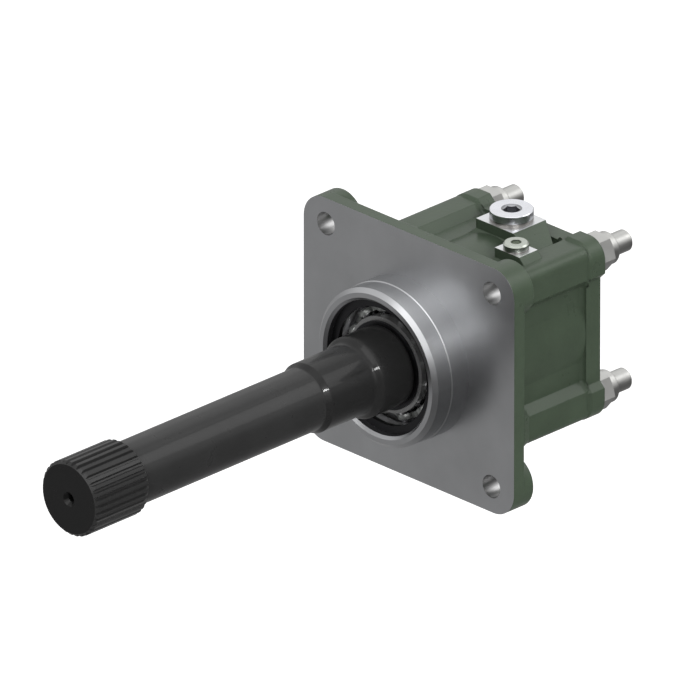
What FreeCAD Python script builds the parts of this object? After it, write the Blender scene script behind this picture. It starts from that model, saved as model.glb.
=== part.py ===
import FreeCAD, Part
import math
import os

from collections import namedtuple
from FreeCAD import Vector

# Power take off unit for the rear of a gearbox, shifted by compressed air.
# All sizes are in millimetres. The shaft axis is Y: the origin is the centre of the
# mounting flange's front face, the input shaft points to -Y, the pump face to +Y.
# X is to the right seen from the front and Z is up.

os.makedirs("parts", exist_ok=True)

# Fits, as radial or side clearances
RUNNING_CLEARANCE = 0.05
SEAT_CLEARANCE = 0.01
SPLINE_CLEARANCE = 0.12
BALL_CLEARANCE = 0.12
SIDE_CLEARANCE = 0.1

# Mounting flange of the housing
FLANGE_WIDTH = 155.5
FLANGE_HEIGHT = 141.0
FLANGE_THICKNESS = 7.8
FLANGE_CORNER_R = 15.0
FLANGE_EDGE_R = 0.6
FLANGE_HOLE_D = 13.0
FLANGE_HOLE_INSET_X = 16.55
FLANGE_HOLE_INSET_Z = 14.8
CORNER_BOSS_HEIGHT = 7.0

# Machined spigot in front of the flange
SPIGOT_WALL = 6.6
SPIGOT_BASE_STEP = 0.5
SPIGOT_BASE_LENGTH = 12.0
SPIGOT_LENGTH = 24.4
SPIGOT_CHAMFER = 2.3
SPIGOT_MOUTH_CHAMFER = 1.6

# Cast body between the flange and the pump face
PUMP_FACE_Y = 94.0
COLUMN_OUTER = 50.0
COLUMN_EDGE_R = 6.0
COLUMN_INNER = 32.3
PANEL_OUTER = 45.2
BARREL_R = 48.0
RECESS_END_R = 2.6
COLUMN_ROOT_GROWTH = 1.5
COLUMN_ROOT_END_Y = 34.5
COLUMN_ROOT_RAMP = 5.0
COLUMN_FOOT = 3.0
REAR_PLATE_HALF = 48.2
REAR_PLATE_THICKNESS = 10.6
REAR_PLATE_CORNER_R = 8.0
LUG_OUTER = 51.7
LUG_CORNER_R = 11.2
LUG_INNER = 33.2
LUG_LENGTH = 11.8
LUG_RAMP = 2.4
LUG_SINK = 0.4

# Studs and nuts of the pump face
STUD_SPACING = 80.0
STUD_R = 6.0
STUD_PITCH_R = 5.43
STUD_DEPTH = 24.0
STUD_REACH = 27.0
STUD_NECK_R = 5.4
STUD_NECK_LENGTH = 1.0
STUD_CHAMFER = 0.9
NUT_WIDTH = 19.0
NUT_HEIGHT = 14.0
NUT_HEXAGON_LENGTH = 9.2
NUT_CHAMFER = 0.6
NUT_CROWN_R = 9.1
NUT_CROWN_EDGE_R = 1.0
NUT_CORNER_ANGLE = 53.0

# Both ball bearings, as shares of the height between bore and outside
BEARING_RING_SHARE = 0.28
BEARING_BALL_SHARE = 0.58
BEARING_CAGE_SHARE = 0.2
SHAFT_SHOULDER_SHARE = 0.233
HOUSING_SHOULDER_SHARE = 0.367
BORE_CLIP_SHARE = 0.307
SHAFT_CLIP_SHARE = 0.213
CAGE_WALL = 0.7
BEARING_EDGE_R = 0.8

# Ears and gap of the circlips
CLIP_GAP_ANGLE = 26.0
CLIP_EAR_R = 2.0
CLIP_EAR_INSET = 1.4
CLIP_EAR_HOLE_R = 0.9
CLIP_EAR_ANGLE = 215.0
CLIP_END_GAP = 0.05

# Front bearing, 45 x 75 x 16, with its two circlips
FRONT_BEARING_BORE_R = 22.5
FRONT_BEARING_OUTER_R = 37.5
FRONT_BEARING_WIDTH = 16.0
FRONT_BEARING_FACE_Y = -17.0
FRONT_BALL_COUNT = 12
FRONT_BORE_CLIP_THICKNESS = 2.5
FRONT_BORE_CLIP_DEPTH = 1.5
FRONT_SHAFT_CLIP_THICKNESS = 1.75
FRONT_SHAFT_CLIP_DEPTH = 1.25

# Web behind the front bearing, and the bores behind it
FRONT_WEB_THICKNESS = 6.0
CYLINDER_R = 38.0
GUIDE_BORE_R = 40.0
GUIDE_SEAT_Y = 58.0
BORE_MOUTH_CHAMFER = 1.0
CUTTER_OVERRUN = 1.0

# Input shaft
SHAFT_TIP_Y = -249.5
SHAFT_SPLINE_LENGTH = 38.9
SHAFT_SPLINE_TIP_R = 20.9
SHAFT_SPLINE_ROOT_R = 19.5
SHAFT_SPLINE_TEETH = 32
SHAFT_SPLINE_TIP_WIDTH = 1.75
SHAFT_SPLINE_ROOT_WIDTH = 2.9
SHAFT_SPLINE_CHAMFER = 1.7
SHAFT_SPLINE_RUNOUT = 1.5
SHAFT_TUBE_R = 17.5
SHAFT_COLLAR_R = 19.4
SHAFT_COLLAR_START_Y = -78.4
SHAFT_COLLAR_CONE = 3.4
SHAFT_SEAT_START_Y = -43.0
SHAFT_SEAT_CONE = 2.6
SHAFT_FILLET = 2.5
SHAFT_SHOULDER_WIDTH = 5.0
SHAFT_NECK_R = 19.5
SHAFT_CENTRE_R = 4.0
SHAFT_CENTRE_DRILL_R = 2.0
SHAFT_CENTRE_DEPTH = 8.0
CLUTCH_TEETH = 24
CLUTCH_TIP_R = 22.4
CLUTCH_ROOT_R = 20.6
CLUTCH_TIP_WIDTH = 1.9
CLUTCH_ROOT_WIDTH = 3.3
CLUTCH_CHAMFER = 1.2
INPUT_TEETH_START_Y = 14.0
PILOT_R = 12.5
PILOT_CHAMFER = 1.0

# Output shaft with the pump's eight-key socket
OUTPUT_GAP = 3.0
OUTPUT_COLLAR_WIDTH = 4.0
OUTPUT_TAIL = 4.5
OUTPUT_CHAMFER = 0.8
SOCKET_MINOR_R = 16.0
SOCKET_MAJOR_R = 17.5
SOCKET_KEY_WIDTH = 6.0
SOCKET_KEYS = 8
SOCKET_LENGTH = 34.5
SOCKET_CHAMFER = 1.5
BUSH_LENGTH = 18.0

# Clutch sleeve, shift ring and piston
SHIFT_STROKE = 12.0
SLEEVE_GAP = 2.0
SLEEVE_LENGTH = 25.0
SLEEVE_R = 26.5
SLEEVE_CHAMFER = 1.0
SLEEVE_GROOVE_INSET = 2.0
SLEEVE_GROOVE_WIDTH = 7.0
SLEEVE_GROOVE_R = 24.8
SHIFT_RING_R = 32.5
SHIFT_RING_SPLIT = 0.6
SHIFT_CLIP_THICKNESS = 2.5
SHIFT_CLIP_DEPTH = 1.0
SHIFT_CLIP_WIDTH = 3.4
SNAP_RING_GAP_ANGLE = 6.0
PISTON_SKIRT_R = 34.5
PISTON_SKIRT_LIP = 2.0
PISTON_WEB = 2.0
PISTON_REAR_GAP = 2.0
PISTON_SEAL_SECTION_R = 1.3
PISTON_SEAL_INSET = 4.4
SPRING_WIRE_R = 1.2
SPRING_TURNS = 5
SPRING_WIRE_SIDES = 6

# Guide that closes the air cylinder and carries the rear bearing
GUIDE_LENGTH = 25.5
GUIDE_NECK_R = 29.95
GUIDE_NECK_ROOM = 0.8
GUIDE_NECK_LENGTH = 18.0
GUIDE_WEB = 4.0
GUIDE_NECK_SEAL_INSET = 3.6
GUIDE_SEAL_SECTION_R = 0.9
GUIDE_SEAL_INSET = 2.4
AIR_GROOVE_WIDTH = 5.0
AIR_GROOVE_DEPTH = 3.0
AIR_CHANNEL_WIDTH = 6.0
AIR_CHANNELS = 4
GUIDE_CLIP_THICKNESS = 2.5
GUIDE_CLIP_DEPTH = 1.5
GUIDE_CLIP_WIDTH = 5.0

# Rear bearing, 50 x 72 x 12, with its rubber seal and circlips
REAR_BEARING_BORE_R = 25.0
REAR_BEARING_OUTER_R = 36.0
REAR_BEARING_WIDTH = 12.0
REAR_BEARING_SHOULDER = 10.0
REAR_BALL_COUNT = 12
REAR_SEAL_THICKNESS = 0.9
REAR_SEAL_INSET = 0.4
REAR_SEAL_BITE = 0.8
REAR_BORE_CLIP_THICKNESS = 2.5
REAR_BORE_CLIP_DEPTH = 1.2
REAR_SHAFT_CLIP_THICKNESS = 2.0
REAR_SHAFT_CLIP_DEPTH = 1.5

# Bosses, ports and plugs on the top
PORT_PAD_Z = 53.7
PAD_FOOT = 3.0
AIR_PAD_X = 27.0
AIR_PAD_Y = 24.6
AIR_PAD_MIDDLE_Y = 75.9
AIR_RAMP_DROP = 4.3
AIR_RAMP_FRONT_Y = 59.0
AIR_RAMP_REAR_Y = 74.8
AIR_PORT_Y = 76.4
AIR_PORT_R = 9.0
AIR_PORT_DEPTH = 10.5
AIR_PLUG_R = 11.7
AIR_PLUG_HEIGHT = 4.3
AIR_PLUG_EDGE = 0.35
AIR_PLUG_SOCKET = 8.0
AIR_PLUG_DISH_R = 5.6
AIR_WASHER_THICKNESS = 1.7
AIR_PORT_DRILL_R = 3.0
SWITCH_PAD_X = 17.8
SWITCH_PAD_Y = 13.8
SWITCH_PORT_X = 28.0
SWITCH_PORT_Y = 51.5
SWITCH_PORT_R = 5.0
SWITCH_PORT_DEPTH = 9.0
SWITCH_PLUG_R = 6.8
SWITCH_PLUG_HEIGHT = 3.2
SWITCH_PLUG_EDGE = 0.8
SWITCH_PLUG_SOCKET = 5.0
SWITCH_PLUG_DISH_R = 2.9
SWITCH_WASHER_THICKNESS = 0.7
SWITCH_DRILL_R = 1.5
PLUG_DISH_SLOPE = 0.6
PLUG_SOCKET_TURN = 45.0
PLUG_SHANK_SHARE = 0.85
PLUG_THREAD_CLEARANCE = 0.05

AXIS = Vector(0, 1, 0)
ORIGIN = Vector(0, 0, 0)

# Places along the shaft axis that follow from the sizes above
FRONT_BEARING_REAR_Y = FRONT_BEARING_FACE_Y + FRONT_BEARING_WIDTH
FRONT_WEB_REAR_Y = FRONT_BEARING_REAR_Y + FRONT_WEB_THICKNESS
INPUT_TEETH_END_Y = INPUT_TEETH_START_Y + SHIFT_STROKE
OUTPUT_FRONT_Y = INPUT_TEETH_END_Y + OUTPUT_GAP
SLEEVE_FRONT_Y = INPUT_TEETH_END_Y + SLEEVE_GAP
SLEEVE_GROOVE_Y = SLEEVE_FRONT_Y + SLEEVE_GROOVE_INSET
SLEEVE_GROOVE_END_Y = SLEEVE_GROOVE_Y + SLEEVE_GROOVE_WIDTH
PISTON_STEP_Y = SLEEVE_GROOVE_END_Y + PISTON_WEB
PISTON_REAR_Y = GUIDE_SEAT_Y - PISTON_REAR_GAP
GUIDE_END_Y = GUIDE_SEAT_Y + GUIDE_LENGTH
REAR_BEARING_FACE_Y = GUIDE_SEAT_Y + REAR_BEARING_SHOULDER
REAR_BEARING_REAR_Y = REAR_BEARING_FACE_Y + REAR_BEARING_WIDTH
OUTPUT_END_Y = REAR_BEARING_REAR_Y + OUTPUT_TAIL

# Radii that follow from the sizes above
SPIGOT_R = FRONT_BEARING_OUTER_R + SPIGOT_WALL
SPIGOT_BASE_R = SPIGOT_R + SPIGOT_BASE_STEP
PISTON_R = CYLINDER_R - RUNNING_CLEARANCE
GUIDE_R = GUIDE_BORE_R - SEAT_CLEARANCE
SPRING_MEAN_R = (PISTON_SKIRT_R + CYLINDER_R) / 2.0

Bearing = namedtuple("Bearing", "face_y width bore_r outer_r height inner_land_r outer_land_r "
                                "pitch_r ball_r balls cage_depth")


def ball_bearing(face_y, width, bore_r, outer_r, balls):
    """Sizes of a deep groove ball bearing, from its bore, outside and width."""
    height = outer_r - bore_r
    return Bearing(face_y, width, bore_r, outer_r, height,
                   bore_r + BEARING_RING_SHARE * height, outer_r - BEARING_RING_SHARE * height,
                   (bore_r + outer_r) / 2.0, BEARING_BALL_SHARE * height / 2.0, balls,
                   BEARING_CAGE_SHARE * height)


FRONT_BEARING = ball_bearing(FRONT_BEARING_FACE_Y, FRONT_BEARING_WIDTH,
                             FRONT_BEARING_BORE_R, FRONT_BEARING_OUTER_R, FRONT_BALL_COUNT)
REAR_BEARING = ball_bearing(REAR_BEARING_FACE_Y, REAR_BEARING_WIDTH,
                            REAR_BEARING_BORE_R, REAR_BEARING_OUTER_R, REAR_BALL_COUNT)
FRONT_WEB_BORE_R = FRONT_BEARING_OUTER_R - HOUSING_SHOULDER_SHARE * FRONT_BEARING.height
SHAFT_SHOULDER_R = FRONT_BEARING_BORE_R + SHAFT_SHOULDER_SHARE * FRONT_BEARING.height
GUIDE_SHOULDER_R = REAR_BEARING_OUTER_R - HOUSING_SHOULDER_SHARE * REAR_BEARING.height
OUTPUT_COLLAR_R = REAR_BEARING_BORE_R + SHAFT_SHOULDER_SHARE * REAR_BEARING.height


def unit(vector):
    return vector * (1.0 / vector.Length)


def rounded_wire(points):
    """Closed wire through the points; a point with a third value gets a fillet of that radius."""
    corners = []
    count = len(points)
    for index, point in enumerate(points):
        here = Vector(point[1], point[0], 0)
        if len(point) < 3:
            corners.append((here, None, here))
            continue
        before = points[index - 1]
        after = points[(index + 1) % count]
        to_before = unit(Vector(before[1], before[0], 0) - here)
        to_after = unit(Vector(after[1], after[0], 0) - here)
        half = to_before.getAngle(to_after) / 2.0
        reach = point[2] / math.tan(half)
        bisector = unit(to_before + to_after)
        middle = here + bisector * (point[2] / math.sin(half) - point[2])
        corners.append((here + to_before * reach, middle, here + to_after * reach))
    edges = []
    for index, corner in enumerate(corners):
        if corner[1] is not None:
            edges.append(Part.Arc(corner[0], corner[1], corner[2]).toShape())
        following = corners[(index + 1) % count][0]
        edges.append(Part.LineSegment(corner[2], following).toShape())
    return Part.Wire(edges)


def turned(points):
    """Solid of revolution about the shaft axis from (y, radius) points."""
    face = Part.Face(rounded_wire(points))
    return face.revolve(ORIGIN, AXIS, 360)


def ring(y_front, y_rear, inner_r, outer_r):
    return turned([(y_front, inner_r), (y_front, outer_r), (y_rear, outer_r), (y_rear, inner_r)])


def bar(radius, y_front, y_rear, x=0.0, z=0.0):
    return Part.makeCylinder(radius, y_rear - y_front, Vector(x, y_front, z), AXIS)


def block(x_low, x_high, y_low, y_high, z_low, z_high):
    size = Vector(x_high - x_low, y_high - y_low, z_high - z_low)
    return Part.makeBox(size.x, size.y, size.z, Vector(x_low, y_low, z_low))


def prism(outline, y_front, y_rear):
    """Solid between two planes from an outline of (x, z) points."""
    points = [Vector(x, y_front, z) for x, z in outline]
    face = Part.Face(Part.makePolygon(points + [points[0]]))
    return face.extrude(Vector(0, y_rear - y_front, 0))


def rounded_box(half_x, half_z, corner_r, y_front, y_rear):
    """Upright box about the shaft axis whose long edges are rounded."""
    solid = block(-half_x, half_x, y_front, y_rear, -half_z, half_z)
    long_edges = [edge for edge in solid.Edges if abs(edge.tangentAt(edge.FirstParameter).y) > 0.9]
    return solid.makeFillet(corner_r, long_edges)


def edges_at(solid, y):
    """Edges of the solid that lie in the plane of that y."""
    near = 0.001
    return [edge for edge in solid.Edges
            if abs(edge.BoundBox.YMin - y) < near and abs(edge.BoundBox.YMax - y) < near]


def toothed_bar(teeth, root_r, tip_r, root_width, tip_width, y_front, y_rear):
    """Bar with straight-sided teeth all round, as long as the two planes are apart."""
    edges = []
    pitch = 2.0 * math.pi / teeth
    root_half = math.asin(root_width / 2.0 / root_r)
    tip_half = math.asin(tip_width / 2.0 / tip_r)

    def at(radius, angle):
        return Vector(radius * math.cos(angle), y_front, radius * math.sin(angle))

    for index in range(teeth):
        centre = index * pitch
        rise = at(root_r, centre - root_half)
        tip_start = at(tip_r, centre - tip_half)
        tip_end = at(tip_r, centre + tip_half)
        fall = at(root_r, centre + root_half)
        next_rise = at(root_r, centre + pitch - root_half)
        edges.append(Part.LineSegment(rise, tip_start).toShape())
        edges.append(Part.Arc(tip_start, at(tip_r, centre), tip_end).toShape())
        edges.append(Part.LineSegment(tip_end, fall).toShape())
        edges.append(Part.Arc(fall, at(root_r, centre + pitch / 2.0), next_rise).toShape())
    face = Part.Face(Part.Wire(edges))
    return face.extrude(Vector(0, y_rear - y_front, 0))


def turned_about_axis(shape, angle):
    copy = shape.copy()
    copy.rotate(ORIGIN, AXIS, angle)
    return copy


def four_corners(half_x, half_z):
    return [(side_x * half_x, side_z * half_z) for side_x in (-1, 1) for side_z in (-1, 1)]


def housing():
    """One casting: mounting flange, spigot, four columns round a barrel, and pump face."""
    flange_half_x = FLANGE_WIDTH / 2.0
    flange_half_z = FLANGE_HEIGHT / 2.0
    flange = rounded_box(flange_half_x, flange_half_z, FLANGE_CORNER_R, 0, FLANGE_THICKNESS)
    flange = flange.makeFillet(FLANGE_EDGE_R, edges_at(flange, FLANGE_THICKNESS))
    boss_end = FLANGE_THICKNESS + CORNER_BOSS_HEIGHT
    bosses = []
    for x, z in four_corners(flange_half_x - FLANGE_CORNER_R, flange_half_z - FLANGE_CORNER_R):
        boss = bar(FLANGE_CORNER_R, 0, boss_end, x, z)
        bosses.append(boss.makeFillet(FLANGE_EDGE_R, edges_at(boss, boss_end)))

    plate_front_y = PUMP_FACE_Y - REAR_PLATE_THICKNESS
    body = rounded_box(COLUMN_OUTER, COLUMN_OUTER, COLUMN_EDGE_R, FLANGE_THICKNESS, plate_front_y)
    body = body.cut([turned_about_axis(side_recess(), 90.0 * side) for side in range(4)])
    barrel = bar(BARREL_R, FLANGE_THICKNESS, PUMP_FACE_Y)
    plate = rounded_box(REAR_PLATE_HALF, REAR_PLATE_HALF, REAR_PLATE_CORNER_R, plate_front_y, PUMP_FACE_Y)
    corners = [turned_about_axis(shape, 90.0 * side) for shape in (column_root(), lug()) for side in range(4)]
    casting = flange.fuse(bosses + [spigot(), body, barrel, plate, air_pad(), switch_pad()] + corners)

    cuts = [housing_bore(), air_port(), switch_port()]
    for x, z in four_corners(flange_half_x - FLANGE_HOLE_INSET_X, flange_half_z - FLANGE_HOLE_INSET_Z):
        cuts.append(bar(FLANGE_HOLE_D / 2.0, -CUTTER_OVERRUN, boss_end + CUTTER_OVERRUN, x, z))
    for x, z in four_corners(STUD_SPACING / 2.0, STUD_SPACING / 2.0):
        cuts.append(bar(STUD_PITCH_R, PUMP_FACE_Y - STUD_DEPTH, PUMP_FACE_Y + CUTTER_OVERRUN, x, z))
    return casting.cut(cuts).removeSplitter()


def side_recess():
    """Cutter for the shallow recess between two columns, on the top side of the body."""
    depth = COLUMN_OUTER - PANEL_OUTER
    floor = COLUMN_INNER - depth
    above = COLUMN_OUTER + depth
    wide = COLUMN_INNER + depth
    rear_y = PUMP_FACE_Y - REAR_PLATE_THICKNESS
    cutter = prism([(-floor, PANEL_OUTER), (floor, PANEL_OUTER), (wide, above), (-wide, above)],
                   FLANGE_THICKNESS, rear_y)
    end_edges = [edge for edge in edges_at(cutter, rear_y) if edge.BoundBox.ZMin < above - 0.001]
    return cutter.makeFillet(RECESS_END_R, end_edges)


def corner_section(y, inner, outer, corner_r, foot):
    """Outline across one column: a round outer corner, and bevels from its sides to the foot."""
    low = inner - (outer - foot)
    wire = rounded_wire([(low, low), (foot, low), (outer, inner), (outer, outer, corner_r),
                         (inner, outer), (low, foot)])
    wire.rotate(ORIGIN, Vector(1, 0, 0), 90)
    wire.translate(Vector(0, y, 0))
    return wire


def column_root():
    """Thicker root of one column, with a ramp behind it and a foot on the flange."""
    places = [(FLANGE_THICKNESS, COLUMN_ROOT_GROWTH + COLUMN_FOOT),
              (FLANGE_THICKNESS + COLUMN_FOOT, COLUMN_ROOT_GROWTH),
              (COLUMN_ROOT_END_Y, COLUMN_ROOT_GROWTH),
              (COLUMN_ROOT_END_Y + COLUMN_ROOT_RAMP, 0)]
    sections = [corner_section(y, COLUMN_INNER - 2.0 * growth, COLUMN_OUTER + growth,
                               COLUMN_EDGE_R + growth, PANEL_OUTER) for y, growth in places]
    return Part.makeLoft(sections, True, True)


def lug():
    """Lug about one stud at the pump face, a little proud of its column and of the plate."""
    start_y = PUMP_FACE_Y - LUG_LENGTH
    start_outer = COLUMN_OUTER - LUG_SINK
    foot = REAR_PLATE_HALF - LUG_SINK
    sections = [corner_section(start_y, LUG_INNER, start_outer,
                               LUG_CORNER_R - (LUG_OUTER - start_outer), foot)]
    for y in (start_y + LUG_RAMP, PUMP_FACE_Y):
        sections.append(corner_section(y, LUG_INNER, LUG_OUTER, LUG_CORNER_R, foot))
    return Part.makeLoft(sections, True, True)


def spigot():
    """Turned spigot that centres the unit in the gearbox."""
    return turned([
        (FLANGE_THICKNESS, 0),
        (FLANGE_THICKNESS, SPIGOT_BASE_R),
        (-SPIGOT_BASE_LENGTH, SPIGOT_BASE_R),
        (-SPIGOT_BASE_LENGTH - (SPIGOT_BASE_R - SPIGOT_R), SPIGOT_R),
        (-SPIGOT_LENGTH + SPIGOT_CHAMFER, SPIGOT_R),
        (-SPIGOT_LENGTH, SPIGOT_R - SPIGOT_CHAMFER),
        (-SPIGOT_LENGTH, 0),
    ])


def upright(outline, z_low, z_high):
    """Solid between two heights from an outline of (x, y) points."""
    points = [Vector(x, y, z_low) for x, y in outline]
    face = Part.Face(Part.makePolygon(points + [points[0]]))
    return face.extrude(Vector(0, 0, z_high - z_low))


def pad_block(x, y, size_x, size_y):
    """Upright block with a sloping foot on the panel round it."""
    half_x = size_x / 2.0
    half_y = size_y / 2.0
    rings = []
    for spread, z in ((PAD_FOOT, PANEL_OUTER), (0, PANEL_OUTER + PAD_FOOT)):
        corners = [(-1, -1), (1, -1), (1, 1), (-1, 1), (-1, -1)]
        rings.append(Part.makePolygon([Vector(x + a * (half_x + spread), y + b * (half_y + spread), z)
                                       for a, b in corners]))
    block_above = block(x - half_x, x + half_x, y - half_y, y + half_y, CYLINDER_R, PORT_PAD_Z)
    return block_above.fuse(Part.makeLoft(rings, True, True))


def air_pad():
    """Raised pad of the air port, with a gentle ramp from its right side to the column."""
    half_x = AIR_PAD_X / 2.0
    front_y = AIR_PAD_MIDDLE_Y - AIR_PAD_Y / 2.0
    rear_y = AIR_PAD_MIDDLE_Y + AIR_PAD_Y / 2.0
    end_x = COLUMN_INNER
    plan = [(0, front_y), (half_x, front_y), (end_x, AIR_RAMP_FRONT_Y), (end_x, AIR_RAMP_REAR_Y),
            (half_x, rear_y), (0, rear_y)]
    slope = [(0, CYLINDER_R), (0, PORT_PAD_Z), (half_x, PORT_PAD_Z),
             (end_x, PORT_PAD_Z - AIR_RAMP_DROP), (end_x, CYLINDER_R)]
    ramp = prism(slope, AIR_RAMP_FRONT_Y, rear_y).common(upright(plan, CYLINDER_R, PORT_PAD_Z))
    return pad_block(0, AIR_PAD_MIDDLE_Y, AIR_PAD_X, AIR_PAD_Y).fuse(ramp)


def switch_pad():
    """Raised pad of the switch port, with a ramp down to the top of the column beside it."""
    right_x = SWITCH_PORT_X + SWITCH_PAD_X / 2.0
    half_y = SWITCH_PAD_Y / 2.0
    ramp_x = right_x + PORT_PAD_Z - PANEL_OUTER
    slope = [(SWITCH_PORT_X, PANEL_OUTER), (SWITCH_PORT_X, PORT_PAD_Z), (right_x, PORT_PAD_Z),
             (ramp_x, PANEL_OUTER)]
    ramp = prism(slope, SWITCH_PORT_Y - half_y, SWITCH_PORT_Y + half_y)
    return pad_block(SWITCH_PORT_X, SWITCH_PORT_Y, SWITCH_PAD_X, SWITCH_PAD_Y).fuse(ramp)


def housing_bore():
    """Everything that is bored out of the casting on the shaft axis, as one turned cutter."""
    clip_rear = FRONT_BEARING_FACE_Y
    clip_front = clip_rear - FRONT_BORE_CLIP_THICKNESS
    clip_r = FRONT_BEARING_OUTER_R + FRONT_BORE_CLIP_DEPTH
    guide_clip_rear = GUIDE_END_Y + GUIDE_CLIP_THICKNESS
    guide_clip_r = GUIDE_BORE_R + GUIDE_CLIP_DEPTH
    past = CUTTER_OVERRUN
    return turned([
        (-SPIGOT_LENGTH - past, 0),
        (-SPIGOT_LENGTH - past, FRONT_BEARING_OUTER_R + SPIGOT_MOUTH_CHAMFER + past),
        (-SPIGOT_LENGTH + SPIGOT_MOUTH_CHAMFER, FRONT_BEARING_OUTER_R),
        (clip_front, FRONT_BEARING_OUTER_R),
        (clip_front, clip_r),
        (clip_rear, clip_r),
        (clip_rear, FRONT_BEARING_OUTER_R),
        (FRONT_BEARING_REAR_Y, FRONT_BEARING_OUTER_R),
        (FRONT_BEARING_REAR_Y, FRONT_WEB_BORE_R),
        (FRONT_WEB_REAR_Y, FRONT_WEB_BORE_R),
        (FRONT_WEB_REAR_Y, CYLINDER_R),
        (GUIDE_SEAT_Y, CYLINDER_R),
        (GUIDE_SEAT_Y, GUIDE_BORE_R),
        (GUIDE_END_Y, GUIDE_BORE_R),
        (GUIDE_END_Y, guide_clip_r),
        (guide_clip_rear, guide_clip_r),
        (guide_clip_rear, GUIDE_BORE_R),
        (PUMP_FACE_Y - BORE_MOUTH_CHAMFER, GUIDE_BORE_R),
        (PUMP_FACE_Y + past, GUIDE_BORE_R + BORE_MOUTH_CHAMFER + past),
        (PUMP_FACE_Y + past, 0),
    ])


def down_hole(radius, x, y, z_top, depth):
    return Part.makeCylinder(radius, depth, Vector(x, y, z_top - depth), Vector(0, 0, 1))


def air_port():
    thread = down_hole(AIR_PORT_R, 0, AIR_PORT_Y, PORT_PAD_Z, AIR_PORT_DEPTH)
    drill = down_hole(AIR_PORT_DRILL_R, 0, AIR_PORT_Y, PORT_PAD_Z, PORT_PAD_Z - CYLINDER_R)
    return thread.fuse(drill)


def switch_port():
    """Threaded hole of the switch port, and the drilling from its foot into the cylinder."""
    foot_z = PORT_PAD_Z - SWITCH_PORT_DEPTH
    thread = down_hole(SWITCH_PORT_R, SWITCH_PORT_X, SWITCH_PORT_Y, PORT_PAD_Z, SWITCH_PORT_DEPTH)
    to_axis = Vector(-SWITCH_PORT_X, 0, -foot_z)
    length = to_axis.Length - CYLINDER_R + SWITCH_DRILL_R
    foot = Vector(SWITCH_PORT_X, SWITCH_PORT_Y, foot_z)
    return thread.fuse(Part.makeCylinder(SWITCH_DRILL_R, length, foot, to_axis))


def hexagon(width, turn):
    """Corners of a hexagon of that width across flats, one of them turned from the first axis."""
    corner_r = width / math.sqrt(3.0)
    angles = [math.radians(60.0 * index + turn) for index in range(6)]
    return [(corner_r * math.cos(angle), corner_r * math.sin(angle)) for angle in angles]


def hexagon_socket(x, y, z_top, width, depth):
    corners = [Vector(x + a, y + b, z_top - depth) for a, b in hexagon(width, PLUG_SOCKET_TURN)]
    return Part.Face(Part.makePolygon(corners + corners[:1])).extrude(Vector(0, 0, depth))


def port_plug(x, y, washer, collar_r, height, edge_size, socket, dish_r, port_r, depth):
    """Screw plug with a round collar and a hexagon socket, standing on its washer."""
    seat_z = PORT_PAD_Z + washer
    top_z = seat_z + height
    shank_r = port_r - PLUG_THREAD_CLEARANCE
    shank = down_hole(shank_r, x, y, seat_z, washer + depth * PLUG_SHANK_SHARE)
    collar = down_hole(collar_r, x, y, top_z, height)
    rim = [edge for edge in collar.Edges if edge.BoundBox.ZMin > top_z - 0.001]
    collar = collar.makeChamfer(edge_size, rim)
    solid = collar.fuse(shank)
    dish_depth = (dish_r - socket / 2.0) * PLUG_DISH_SLOPE
    dish_foot = Vector(x, y, top_z - dish_depth)
    dish = Part.makeCone(socket / 2.0, dish_r, dish_depth, dish_foot, Vector(0, 0, 1))
    return solid.cut([dish, hexagon_socket(x, y, top_z, socket, height + washer)])


def port_washer(x, y, collar_r, port_r, thickness):
    outer = Part.makeCylinder(collar_r, thickness, Vector(x, y, PORT_PAD_Z))
    return outer.cut(Part.makeCylinder(port_r, thickness, Vector(x, y, PORT_PAD_Z)))


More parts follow.
